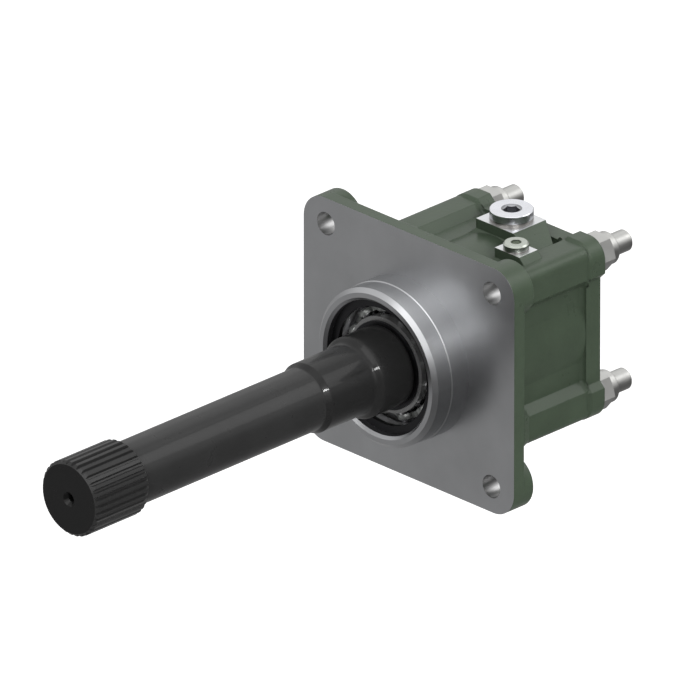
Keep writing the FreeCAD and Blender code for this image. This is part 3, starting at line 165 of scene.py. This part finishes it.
class SteelFinish(bpy.types.PropertyGroup):
    black: colour("Phosphated steel", (0.039, 0.039, 0.039), "Black surface of the input shaft")
    ground: colour("Ground steel", (0.46, 0.46, 0.47), "Bearing rings, output shaft and clutch sleeve")
    ring: colour("Inner ring", (0.22, 0.22, 0.22), "Inner ring of the front bearing")
    ball: colour("Polished balls", (0.736, 0.736, 0.752), "Balls of the front bearing")
    cage: colour("Ball cage", (0.30, 0.31, 0.30), "Cage of the front bearing")
    zinc: colour("Zinc plate", (0.50, 0.50, 0.485), "Studs and nuts")
    nickel: colour("Satin nickel", (0.47, 0.50, 0.45), "Plug of the switch port")
    chrome: colour("Bright plate", (0.76, 0.77, 0.81), "Plug of the air port")
    washer: colour("Washer metal", (0.24, 0.23, 0.22), "Washers under the two plugs")
    oxide: colour("Oxide black", (0.03, 0.03, 0.032), "Circlips and the snap ring")
    bronze: colour("Bronze", (0.45, 0.27, 0.10), "Pilot bush and shift ring")
    aluminium: colour("Turned aluminium", (0.6, 0.6, 0.61), "Shift piston and piston guide")
    spring: colour("Spring wire", (0.12, 0.12, 0.13), "Return spring")
    rubber: colour("Rubber", (0.02, 0.02, 0.02), "Seals")


class StudioLight(bpy.types.PropertyGroup):
    key: power("Key light", 8.0, "Soft light from the front")
    fill: power("Fill light", 1.8, "Soft light from the right")
    top: power("Top light", 3.0, "Soft light from above")
    spark: power("Spark light", 12.0, "Small light on the right, for the glint on the collar's cone")
    glint: power("Glint light", 3.5, "Small light in front, for the glint on the bearing seat's cone")
    back: power("Back light", 0.5, "Soft light from behind on the left, mirrored by gentle slopes")
    rim: power("Rim light", 4.0, "Bright light from behind on the right, mirrored by upper edges")


class Finish:
    """One node material, built up a node at a time."""

    def __init__(self, name, base, metallic, roughness):
        self.material = bpy.data.materials.new(name)
        self.material.use_nodes = True
        self.tree = self.material.node_tree
        self.shader = self.tree.nodes["Principled BSDF"]
        self.shader.inputs["Base Color"].default_value = (*base, 1.0)
        self.shader.inputs["Metallic"].default_value = metallic
        self.shader.inputs["Roughness"].default_value = roughness

    def node(self, kind, **settings):
        node = self.tree.nodes.new(kind)
        for key, value in settings.items():
            setattr(node, key, value)
        return node

    def link(self, source, target):
        self.tree.links.new(source, target)

    def place(self):
        """Coordinates of the piece itself, in metres."""
        return self.node("ShaderNodeTexCoord").outputs["Object"]

    def noise(self, scale, detail=4.0):
        """Soft spots, about as many to the metre as the scale says."""
        noise = self.node("ShaderNodeTexNoise")
        noise.inputs["Scale"].default_value = scale
        noise.inputs["Detail"].default_value = detail
        noise.inputs["Roughness"].default_value = 0.55
        self.link(self.place(), noise.inputs["Vector"])
        return noise.outputs["Fac"]

    def spread(self, value, low, high, start=0.3, end=0.7):
        """Maps a texture's values from start and end to low and high."""
        spread = self.node("ShaderNodeMapRange")
        spread.inputs["From Min"].default_value = start
        spread.inputs["From Max"].default_value = end
        spread.inputs["To Min"].default_value = low
        spread.inputs["To Max"].default_value = high
        self.link(value, spread.inputs["Value"])
        return spread.outputs["Result"]

    def mixed(self, kind, below, above, mask):
        """What is above where the mask is one, and what is below where it is zero."""
        mix = self.node("ShaderNodeMix", data_type=kind)
        for name, value in (("A", below), ("B", above)):
            if isinstance(value, bpy.types.NodeSocket):
                self.link(value, mix.inputs[name])
            else:
                mix.inputs[name].default_value = (*value, 1.0)
        self.link(mask, mix.inputs["Factor"])
        return mix.outputs["Result"]

    def clouds(self, base, scale, variation):
        """The base colour, a little darker and lighter from spot to spot."""
        spots = self.spread(self.noise(scale), 0.0, 1.0)
        return self.mixed("RGBA", tinted(base, 1.0 - variation), tinted(base, 1.0 + variation), spots)

    def relief(self, height, depth, strength=1.0, face=None):
        """Small bumps of the given depth in metres, on the piece's own faces or on another normal."""
        bump = self.node("ShaderNodeBump")
        bump.inputs["Strength"].default_value = strength
        bump.inputs["Distance"].default_value = depth
        self.link(height, bump.inputs["Height"])
        if face is not None:
            self.link(face, bump.inputs["Normal"])
        return bump.outputs["Normal"]


class Masks:
    """Sums on a piece's own coordinates. A mask is one on part of the piece and zero elsewhere."""

    def __init__(self, finish):
        self.finish = finish
        split = finish.node("ShaderNodeSeparateXYZ")
        finish.link(finish.place(), split.inputs[0])
        self.x, self.y, self.z = split.outputs

    def do(self, operation, *values):
        node = self.finish.node("ShaderNodeMath", operation=operation)
        for socket, value in zip(node.inputs, values):
            if isinstance(value, (int, float)):
                socket.default_value = value
            else:
                self.finish.link(value, socket)
        return node.outputs[0]

    def both(self, first, second):
        return self.do("MULTIPLY", first, second)

    def either(self, first, second):
        return self.do("MAXIMUM", first, second)

    def beyond(self, value, limit):
        return self.do("GREATER_THAN", value, limit)

    def short_of(self, value, limit):
        return self.do("LESS_THAN", value, limit)

    def radius(self):
        """Distance from the shaft axis."""
        return self.away(self.x, self.z)

    def away(self, across, along):
        """Distance from an axis, given how far off it a point is in two directions."""
        squares = self.do("ADD", self.do("POWER", across, 2.0), self.do("POWER", along, 2.0))
        return self.do("SQRT", squares)


def tinted(base, share):
    """A darker or lighter colour of the same hue."""
    return tuple(min(1.0, channel * share) for channel in base)


def plated_metal(name, base, roughness, metallic=1.0):
    """Bare, plated or blackened metal with slight variation of shade and gloss and a fine surface."""
    finish = Finish(name, base, metallic, roughness)
    finish.link(finish.clouds(base, 60.0, 0.06), finish.shader.inputs["Base Color"])
    finish.link(finish.spread(finish.noise(140.0), roughness * 0.85, roughness * 1.15),
                finish.shader.inputs["Roughness"])
    finish.link(finish.relief(finish.noise(700.0), 0.000004), finish.shader.inputs["Normal"])
    return finish.material


def blackened_metal(name, base):
    """Dark conversion coating of the shaft, with painted shade on its end face, its collar and its bearing
    seat.
    """
    finish = Finish(name, base, 0.0, 0.3)
    finish.shader.inputs["Specular IOR Level"].default_value = 0.12
    finish.shader.inputs["Coat Weight"].default_value = 0.2
    finish.shader.inputs["Coat Roughness"].default_value = 0.05
    tone = finish.clouds(base, 35.0, 0.08)
    sums = Masks(finish)
    # Painted shade: the end face and the centre hole are darkened
    end = sums.either(sums.short_of(sums.y, SHAFT_END_Y + SKIN),
                      sums.short_of(sums.radius(), CENTRE_HOLE_ZONE))
    tone = finish.mixed("RGBA", tone, tinted(base, PAINTED_END_SHADE), end)
    # Painted shade: the collar and the bearing seat are darkened
    painted_shade_on_collar_and_seat = sums.beyond(sums.y, COLLAR_START_Y)
    tone = finish.mixed("RGBA", tone, tinted(base, PAINTED_COLLAR_SHADE), painted_shade_on_collar_and_seat)
    finish.link(tone, finish.shader.inputs["Base Color"])
    finish.link(finish.spread(finish.noise(80.0), 0.26, 0.33), finish.shader.inputs["Roughness"])
    edges = finish.node("ShaderNodeBevel", samples=16)
    wider = sums.both(sums.beyond(sums.y, SEAT_START_Y), SEAT_EDGE_GROWTH)
    finish.link(sums.do("ADD", wider, COLLAR_EDGE_R), edges.inputs["Radius"])
    grain = finish.relief(finish.noise(1200.0), 0.000004, 0.5)
    normal = finish.mixed("VECTOR", grain, edges.outputs["Normal"], sums.beyond(sums.y, SPLINE_END_Y))
    finish.link(normal, finish.shader.inputs["Normal"])
    return finish.material


def plug_metal(name, base, roughness, plug, dish_r, socket_r, socket_painted_tone):
    """Bright turned top, a duller side darkened by painted shade, and a hexagon socket with its
    countersink. The countersink is darkened by painted shade, and the socket gets a painted tone of its
    own: painted shade in the air plug and painted light in the switch plug.
    """
    low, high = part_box(plug)
    top = high[2]
    finish = Finish(name, base, 1.0, roughness)
    sums = Masks(finish)
    across = sums.do("SUBTRACT", sums.x, (low[0] + high[0]) / 2.0)
    along = sums.do("SUBTRACT", sums.y, (low[1] + high[1]) / 2.0)
    out = sums.away(across, along)
    tone = finish.clouds(base, 90.0, 0.05)
    # Painted shade: the plug's side is darkened
    side = sums.short_of(sums.z, top - PLUG_RIM_DEPTH)
    tone = finish.mixed("RGBA", tone, tinted(base, PAINTED_PLUG_SIDE_SHADE), side)
    # Painted shade in the countersink, and a painted tone in the socket
    sunk = sums.both(sums.short_of(sums.z, top - DISH_DEPTH), sums.short_of(out, dish_r))
    tone = finish.mixed("RGBA", tone, tinted(base, PAINTED_DISH_SHADE), sunk)
    deep = sums.both(sums.short_of(sums.z, top - SOCKET_DEPTH), sums.short_of(out, socket_r))
    tone = finish.mixed("RGBA", tone, tinted(base, socket_painted_tone), deep)
    finish.link(tone, finish.shader.inputs["Base Color"])
    dull = sums.do("ADD", sums.both(side, PLUG_SIDE_DULLNESS), roughness)
    finish.link(dull, finish.shader.inputs["Roughness"])
    finish.link(finish.relief(finish.noise(700.0), 0.000003), finish.shader.inputs["Normal"])
    return finish.material


def rubber(name, base):
    """Dull black rubber with a fine grain."""
    finish = Finish(name, base, 0.0, 0.6)
    finish.link(finish.relief(finish.noise(900.0), 0.00001), finish.shader.inputs["Normal"])
    return finish.material


def paint_with_painted_shade(finish, base):
    """Paint in slight clouds, with painted shade that darkens it in the corners of the casting."""
    # Painted shade: an ambient occlusion node darkens the paint colour in the corners
    corners = finish.node("ShaderNodeAmbientOcclusion", samples=8)
    corners.inputs["Distance"].default_value = CORNER_REACH
    painted_shade_amount = finish.spread(corners.outputs["AO"], 1.0, 0.0, 0.0, 1.0)
    return finish.mixed("RGBA", finish.clouds(base, 45.0, 0.08), tinted(base, PAINTED_CORNER_SHADE), painted_shade_amount)


def cast_skin(finish, sums, bare):
    """Rounded edges and a fine cast grain under the paint, and flat faces on bare metal."""
    edges = finish.node("ShaderNodeBevel", samples=6)
    edges.inputs["Radius"].default_value = PAINT_EDGE_R
    grain = finish.spread(finish.noise(420.0, detail=3.0), 0.0, 1.0)
    grain = sums.both(grain, sums.do("SUBTRACT", 1.0, bare))
    cast = finish.relief(grain, PAINT_GRAIN_DEPTH, 0.8, edges.outputs["Normal"])
    flat = finish.node("ShaderNodeNewGeometry").outputs["Normal"]
    return finish.mixed("VECTOR", cast, flat, bare)


def casting_material(settings):
    """Grey-green paint, and bare metal on every face that is machined after casting."""
    finish = Finish("painted_casting", settings.paint, 0.0, settings.paint_roughness)
    finish.shader.inputs["Specular IOR Level"].default_value = 0.28
    sums = Masks(finish)
    faces, pads, holes = machined_masks(sums)
    bare = sums.either(faces, sums.either(pads, holes))
    iron = finish.clouds(settings.bare, 26.0, 0.07)
    # The paint carries painted shade in its corners
    tone = finish.mixed("RGBA", paint_with_painted_shade(finish, settings.paint), iron, faces)
    tone = finish.mixed("RGBA", tone, settings.pad, pads)
    tone = finish.mixed("RGBA", tone, settings.bolt_hole, holes)
    finish.link(tone, finish.shader.inputs["Base Color"])
    finish.link(bare, finish.shader.inputs["Metallic"])
    smoother = sums.both(bare, settings.paint_roughness - METAL_ROUGHNESS)
    dull = sums.do("SUBTRACT", settings.paint_roughness, smoother)
    dull = sums.do("ADD", dull, finish.spread(finish.noise(90.0), -0.03, 0.03))
    finish.link(dull, finish.shader.inputs["Roughness"])
    finish.link(cast_skin(finish, sums, bare), finish.shader.inputs["Normal"])
    return finish.material


def machined_masks(sums):
    """The turned and milled faces, the tops of the two port bosses, and the flange's bolt holes."""
    front = sums.short_of(sums.y, SKIN)
    back = sums.beyond(sums.y, PUMP_FACE_Y - SKIN)
    bores = sums.both(sums.beyond(sums.y, INSIDE_START_Y), sums.short_of(sums.radius(), INSIDE_R))
    faces = sums.either(sums.either(front, back), bores)
    pads = sums.both(sums.beyond(sums.z, PAD_TOP_Z - SKIN), sums.beyond(sums.y, INSIDE_START_Y))
    across = sums.do("SUBTRACT", sums.do("ABSOLUTE", sums.x), BOLT_HOLE_X)
    up = sums.do("SUBTRACT", sums.do("ABSOLUTE", sums.z), BOLT_HOLE_Z)
    holes = sums.both(sums.short_of(sums.away(across, up), BOLT_HOLE_ZONE),
                      sums.beyond(sums.y, 2.0 * SKIN))
    return faces, pads, holes


def dress(node, material):
    """Gives a CAD node its finish, with smooth shading over its round faces."""
    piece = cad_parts[node]
    piece.data.materials.clear()
    piece.data.materials.append(material)
    piece.data.shade_smooth()
    piece.data.set_sharp_from_angle(angle=SMOOTH_ANGLE)


class POWERTAKEOFF_OT_casting(bpy.types.Operator):
    """Paints the casting and bares its machined faces"""
    bl_idname = "power_take_off.casting"
    bl_label = "Casting"

    def execute(self, context):
        dress("housing", casting_material(context.scene.casting_finish))
        return {"FINISHED"}


class POWERTAKEOFF_OT_metal_pieces(bpy.types.Operator):
    """Gives the shafts, bearings, clutch, circlips, seals, studs, nuts and plugs their finish"""
    bl_idname = "power_take_off.metal_pieces"
    bl_label = "Metal pieces"

    def execute(self, context):
        look = context.scene.steel_finish
        black = blackened_metal("phosphated_steel", look.black)
        ground = plated_metal("ground_steel", look.ground, 0.22, metallic=0.5)
        dark = plated_metal("oxide_black_steel", look.oxide, 0.35)
        zinc = plated_metal("zinc_plate", look.zinc, 0.40)
        washer = plated_metal("washer_metal", look.washer, 0.35)
        air_plug = plug_metal("chrome_plate", look.chrome, 0.14, "air_port_plug",
                              AIR_DISH_R, AIR_SOCKET_R, AIR_SOCKET_PAINTED_SHADE)
        switch_plug = plug_metal("nickel_plate", look.nickel, 0.24, "switch_port_plug",
                                 SWITCH_SOCKET_R, SWITCH_SOCKET_R, SWITCH_SOCKET_PAINTED_LIGHT)
        finishes = {
            "input_shaft": black,
            "front_bearing_outer_ring": ground,
            "front_bearing_inner_ring": plated_metal("inner_ring_steel", look.ring, 0.25, metallic=0.5),
            "front_bearing_balls": plated_metal("polished_steel", look.ball, 0.03),
            "front_bearing_cage": plated_metal("cage_steel", look.cage, 0.3, metallic=0.5),
            "front_bore_circlip": dark,
            "front_shaft_circlip": dark,
            "mounting_studs": zinc,
            "mounting_nuts": zinc,
            "air_port_plug": air_plug,
            "air_port_washer": washer,
            "switch_port_plug": switch_plug,
            "switch_port_washer": washer,
            "output_shaft": ground,
            "clutch_sleeve": ground,
            "rear_bearing_outer_ring": ground,
            "rear_bearing_inner_ring": ground,
            "rear_bearing_balls": ground,
            "rear_bearing_cage": ground,
            "rear_bore_circlip": dark,
            "rear_shaft_circlip": dark,
            "guide_circlip": dark,
            "shift_ring_snap_ring": dark,
            "pilot_bush": plated_metal("bronze", look.bronze, 0.3),
            "shift_ring_halves": plated_metal("ring_bronze", look.bronze, 0.3),
            "shift_piston": plated_metal("machined_aluminium", look.aluminium, 0.3),
            "piston_guide": plated_metal("guide_aluminium", look.aluminium, 0.3),
        }
        for node, material in finishes.items():
            dress(node, material)
        black_rubber = rubber("seal_rubber", look.rubber)
        for node in ("piston_seal", "guide_neck_seal", "guide_seal", "rear_bearing_seal"):
            dress(node, black_rubber)
        return {"FINISHED"}


class SpringSizes(bpy.types.PropertyGroup):
    coil_radius: length("Coil radius", 0.03625, "From the shaft axis to the middle of the wire")
    wire_radius: length("Wire radius", 0.0012, "Half the thickness of the wire")
    front: length("Front end", 0.0051, "Where the spring rests on the front web")
    rear: length("Rear end", 0.0389, "Where the spring rests on the piston's step")
    working_turns: IntProperty(name="Working turns", default=5, min=2, max=12,
                               description="Turns that are free to close")


class POWERTAKEOFF_OT_return_spring(bpy.types.Operator):
    """Winds the piston's return spring from round wire, with closed and ground ends"""
    bl_idname = "power_take_off.return_spring"
    bl_label = "Return spring"

    def execute(self, context):
        look = context.scene.steel_finish
        sizes = context.scene.spring_sizes
        wire = sizes.wire_radius
        low = sizes.front + wire
        high = sizes.rear - wire
        turns = sizes.working_turns + 2.0 * CLOSED_TURN
        steps = int(turns * STEPS_A_TURN)
        closed = 2.0 * wire * CLOSED_TURN / (high - low)
        line = []
        for step in range(steps + 1):
            turn = turns * step / steps
            share = closed * min(turn, CLOSED_TURN) / CLOSED_TURN
            share += (1.0 - 2.0 * closed) * min(1.0, max(0.0, (turn - CLOSED_TURN) / sizes.working_turns))
            share += closed * max(0.0, turn - turns + CLOSED_TURN) / CLOSED_TURN
            angle = WHOLE_TURN * turn
            line.append(Vector((sizes.coil_radius * math.cos(angle), low + (high - low) * share,
                                sizes.coil_radius * math.sin(angle))))
        spring = wire_piece("return_spring_wire", line, wire)
        for vertex in spring.data.vertices:
            vertex.co.y = min(sizes.rear, max(sizes.front, vertex.co.y))
        spring.data.materials.append(plated_metal("spring_wire", look.spring, 0.3))
        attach(spring, "housing")
        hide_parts("return_spring")
        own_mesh(spring)
        return {"FINISHED"}


def wire_piece(name, line, radius):
    """Round wire along a line round the shaft axis, closed at both ends."""
    build = bmesh.new()
    rings = []
    for index, point in enumerate(line):
        before = line[max(index - 1, 0)]
        after = line[min(index + 1, len(line) - 1)]
        along = (after - before).normalized()
        out = Vector((point.x, 0.0, point.z)).normalized()
        out = (out - along * out.dot(along)).normalized()
        up = along.cross(out)
        ring = []
        for side in range(WIRE_SIDES):
            angle = WHOLE_TURN * side / WIRE_SIDES
            ring.append(build.verts.new(point + radius * (math.cos(angle) * out + math.sin(angle) * up)))
        rings.append(ring)
    for first, second in zip(rings, rings[1:]):
        for side in range(WIRE_SIDES):
            other = (side + 1) % WIRE_SIDES
            build.faces.new((first[side], first[other], second[other], second[side]))
    build.faces.new(list(reversed(rings[0])))
    build.faces.new(rings[-1])
    bmesh.ops.recalc_face_normals(build, faces=build.faces)
    mesh = bpy.data.meshes.new(name)
    build.to_mesh(mesh)
    build.free()
    mesh.shade_smooth()
    mesh.set_sharp_from_angle(angle=SMOOTH_ANGLE)
    piece = bpy.data.objects.new(name, mesh)
    bpy.context.scene.collection.objects.link(piece)
    return piece


class POWERTAKEOFF_OT_stage(bpy.types.Operator):
    """Sets the floor, the studio lights and the camera"""
    bl_idname = "power_take_off.stage"
    bl_label = "Studio"

    def execute(self, context):
        scene = context.scene
        light = scene.studio_light
        white_world(scene)
        floor(scene)
        for name, place, size in LAMPS:
            area_light(name + "_light", place, size, getattr(light, name))
        camera(scene)
        scene.view_settings.view_transform = "Standard"
        return {"FINISHED"}


def studio_shade(tree, direction):
    """How bright a mirrored ray finds the studio: a white sky, and a grey floor, darker on the right."""
    def ramp(value, start, end, low, high):
        made = tree.nodes.new("ShaderNodeMapRange")
        made.interpolation_type = "SMOOTHSTEP"
        for name, setting in (("From Min", start), ("From Max", end), ("To Min", low), ("To Max", high)):
            made.inputs[name].default_value = setting
        tree.links.new(value, made.inputs["Value"])
        return made.outputs["Result"]

    split = tree.nodes.new("ShaderNodeSeparateXYZ")
    tree.links.new(direction, split.inputs[0])
    ground = ramp(split.outputs["X"], *GROUND_FADE, GROUND_LEFT, GROUND_RIGHT)
    shade = tree.nodes.new("ShaderNodeMix")
    shade.inputs["B"].default_value = 1.0
    tree.links.new(ramp(split.outputs["Z"], 0.0, SKY_RISE, 0.0, 1.0), shade.inputs["Factor"])
    tree.links.new(ground, shade.inputs["A"])
    return shade.outputs["Result"]


def seen_by(tree):
    """Masks of the camera's own rays, and of the rays that are mirrored or go through glass."""
    path = tree.nodes.new("ShaderNodeLightPath")
    mirrored = tree.nodes.new("ShaderNodeMath")
    mirrored.operation = "MAXIMUM"
    tree.links.new(path.outputs["Is Glossy Ray"], mirrored.inputs[0])
    tree.links.new(path.outputs["Is Transmission Ray"], mirrored.inputs[1])
    return path.outputs["Is Camera Ray"], mirrored.outputs[0]


def switched(tree, usual, other, mask):
    """The other shader where the mask is one, and the usual one elsewhere."""
    mix = tree.nodes.new("ShaderNodeMixShader")
    tree.links.new(mask, mix.inputs["Fac"])
    tree.links.new(usual, mix.inputs[1])
    tree.links.new(other, mix.inputs[2])
    return mix.outputs[0]


def white_world(scene):
    world = bpy.data.worlds.new("studio_world")
    world.use_nodes = True
    scene.world = world
    tree = world.node_tree

    def background(strength):
        made = tree.nodes.new("ShaderNodeBackground")
        made.inputs["Color"].default_value = WHITE
        made.inputs["Strength"].default_value = strength
        return made

    camera_ray, mirrored = seen_by(tree)
    studio = background(1.0)
    direction = tree.nodes.new("ShaderNodeTexCoord").outputs["Generated"]
    tree.links.new(studio_shade(tree, direction), studio.inputs["Strength"])
    looks = switched(tree, background(SOFT_LIGHT).outputs[0], background(1.0).outputs[0], camera_ray)
    looks = switched(tree, looks, studio.outputs[0], mirrored)
    tree.links.new(looks, tree.nodes["World Output"].inputs["Surface"])


def floor(scene):
    """A pale floor that all but glows to the camera, so that it is white and keeps the object's shadow."""
    mesh = bpy.data.meshes.new("floor")
    corners = [(x * FLOOR_HALF, y * FLOOR_HALF, FLOOR_Z) for x, y in ((-1, -1), (1, -1), (1, 1), (-1, 1))]
    mesh.from_pydata(corners, [], [(0, 1, 2, 3)])
    plane = bpy.data.objects.new("floor", mesh)
    scene.collection.objects.link(plane)
    finish = Finish("pale_floor", FLOOR_COLOUR, 0.0, 0.9)
    tree = finish.tree
    surface = finish.shader.outputs[0]
    glow = finish.node("ShaderNodeEmission")
    glow.inputs["Strength"].default_value = FLOOR_GLOW
    glowing = finish.node("ShaderNodeAddShader")
    finish.link(surface, glowing.inputs[0])
    finish.link(glow.outputs[0], glowing.inputs[1])
    direction = finish.node("ShaderNodeVectorMath", operation="NORMALIZE")
    finish.link(finish.node("ShaderNodeNewGeometry").outputs["Position"], direction.inputs[0])
    studio = finish.node("ShaderNodeEmission")
    finish.link(studio_shade(tree, direction.outputs["Vector"]), studio.inputs["Strength"])
    camera_ray, mirrored = seen_by(tree)
    looks = switched(tree, surface, glowing.outputs[0], camera_ray)
    looks = switched(tree, looks, studio.outputs[0], mirrored)
    finish.link(looks, tree.nodes["Material Output"].inputs["Surface"])
    mesh.materials.append(finish.material)


def area_light(name, place, size, power):
    data = bpy.data.lights.new(name, "AREA")
    data.shape = "SQUARE"
    data.size = size
    data.energy = power
    lamp = bpy.data.objects.new(name, data)
    lamp.location = place
    lamp.rotation_euler = (-Vector(place)).to_track_quat("-Z", "Y").to_euler()
    bpy.context.scene.collection.objects.link(lamp)


def camera(scene):
    """Looks from the front right and above, from so far off that the view is all but parallel."""
    level = math.cos(VIEW_ELEVATION)
    toward = Vector((math.sin(VIEW_AZIMUTH) * level, -math.cos(VIEW_AZIMUTH) * level,
                     math.sin(VIEW_ELEVATION)))
    data = bpy.data.cameras.new("camera")
    data.lens = data.sensor_width * VIEW_DISTANCE / VIEW_WIDTH
    data.clip_start = 1.0
    data.clip_end = 200.0
    eye = bpy.data.objects.new("camera", data)
    eye.location = VIEW_MIDDLE + toward * VIEW_DISTANCE
    eye.rotation_euler = (-toward).to_track_quat("-Z", "Y").to_euler()
    scene.collection.objects.link(eye)
    scene.camera = eye


class POWERTAKEOFF_PT_panel(bpy.types.Panel):
    """Lists the steps that dress the power take off unit"""
    bl_idname = "POWERTAKEOFF_PT_panel"
    bl_label = "Power Take Off"
    bl_space_type = "VIEW_3D"
    bl_region_type = "UI"
    bl_category = "Power Take Off"

    def draw(self, context):
        for group in ("casting_finish", "steel_finish", "spring_sizes", "studio_light"):
            settings = getattr(context.scene, group)
            for name in settings.__annotations__:
                self.layout.prop(settings, name)
        for step in STEPS:
            self.layout.operator(step)


STEPS = ("power_take_off.casting", "power_take_off.metal_pieces", "power_take_off.return_spring",
         "power_take_off.stage")

CLASSES = (CastingFinish, SteelFinish, SpringSizes, StudioLight, POWERTAKEOFF_OT_casting,
           POWERTAKEOFF_OT_metal_pieces, POWERTAKEOFF_OT_return_spring, POWERTAKEOFF_OT_stage,
           POWERTAKEOFF_PT_panel)


def register():
    for item in CLASSES:
        bpy.utils.register_class(item)
    bpy.types.Scene.casting_finish = PointerProperty(type=CastingFinish)
    bpy.types.Scene.steel_finish = PointerProperty(type=SteelFinish)
    bpy.types.Scene.spring_sizes = PointerProperty(type=SpringSizes)
    bpy.types.Scene.studio_light = PointerProperty(type=StudioLight)


def unregister():
    del bpy.types.Scene.studio_light
    del bpy.types.Scene.spring_sizes
    del bpy.types.Scene.steel_finish
    del bpy.types.Scene.casting_finish
    for item in reversed(CLASSES):
        bpy.utils.unregister_class(item)


def main():
    register()
    for step in STEPS:
        group, name = step.split(".")
        getattr(getattr(bpy.ops, group), name)()


if __name__ == "__main__":
    main()
